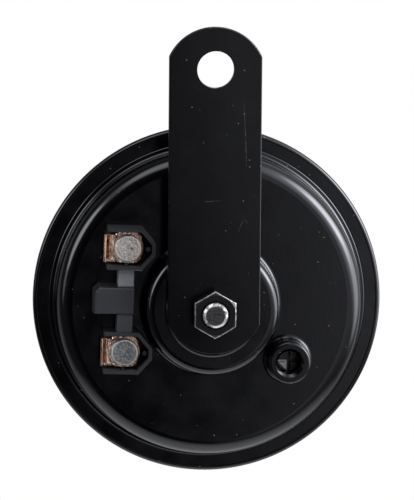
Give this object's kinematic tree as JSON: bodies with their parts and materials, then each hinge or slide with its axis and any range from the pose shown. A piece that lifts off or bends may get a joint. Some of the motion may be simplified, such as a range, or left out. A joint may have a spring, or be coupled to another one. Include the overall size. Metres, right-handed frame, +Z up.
{
  "type": "car horn",
  "caption": "Round electric disc horn for a vehicle, with a slotted front grille, a flat fixing bracket, two wire clamps and a tuning screw behind.",
  "frame": {"origin": "centre of the bracket's fixing hole, in the middle of the strap's thickness", "axes": "+Z up along the bracket strap, +Y the way the sound leaves (front grille), -Y the rear with nut, terminals and tuning screw, +X to the right as seen from the rear"},
  "size_m": [0.1114, 0.053, 0.1456],
  "materials": {
    "black_paint": "semi-gloss black paint",
    "strap_paint": "matt black paint, lightly scratched",
    "nut_black": "black finish, edges worn bright",
    "stud_steel": "black finish, end worn bright",
    "block_plastic": "matt charcoal moulding",
    "copper": "bright copper plating",
    "zinc_head": "grainy zinc plating",
    "tag_brass": "tinned brass",
    "phenolic": "brown phenolic",
    "gasket_paper": "oiled paper",
    "spring_steel": "bright spring steel",
    "bare_steel": "zinc plated steel",
    "screw_steel": "dull steel",
    "tone_paint": "black paint",
    "bobbin_plastic": "natural nylon",
    "winding": "enamelled copper wire",
    "tungsten": "tungsten"
  },
  "bodies": {
    "horn": {"housing": "black_paint", "tuning_bush": "black_paint", "front_cover": "black_paint", "bracket_washer": "black_paint", "bracket_strap": "strap_paint", "bracket_nut": "nut_black", "core_stud": "stud_steel", "terminal_block": "block_plastic", "upper_terminal_plate": "copper", "lower_terminal_plate": "copper", "upper_clamp_plate": "copper", "lower_clamp_plate": "copper", "upper_terminal_rivet": "zinc_head", "lower_terminal_rivet": "zinc_head", "upper_solder_tag": "tag_brass", "lower_solder_tag": "tag_brass", "inner_insulator": "phenolic", "breaker_insulators": "phenolic", "screw_button": "phenolic", "rear_gasket": "gasket_paper", "front_gasket": "gasket_paper", "diaphragm": "spring_steel", "moving_contact_spring": "spring_steel", "magnet_frame": "bare_steel", "breaker_bracket": "bare_steel", "contact_carrier": "bare_steel", "breaker_rivets": "bare_steel", "adjusting_screw": "screw_steel", "coil_bobbin": "bobbin_plastic", "coil_winding": "winding", "upper_lead": "winding", "contact_lead": "winding", "lower_lead": "winding", "fixed_contact": "tungsten", "moving_contact": "tungsten"},
    "sounder": {"armature": "bare_steel", "tone_disc_spacer": "bare_steel", "tone_disc": "tone_paint", "tone_disc_washer": "bare_steel", "tone_disc_nut": "bare_steel"}
  },
  "joints": [
    {"name": "armature_stroke", "type": "slide", "parent": "horn", "child": "sounder", "axis": [0, -1, 0], "range_m": [-0.0004, 0.0006], "stiffness_N_per_m": 2000, "deforming": ["diaphragm", "moving_contact_spring"]}
  ]
}
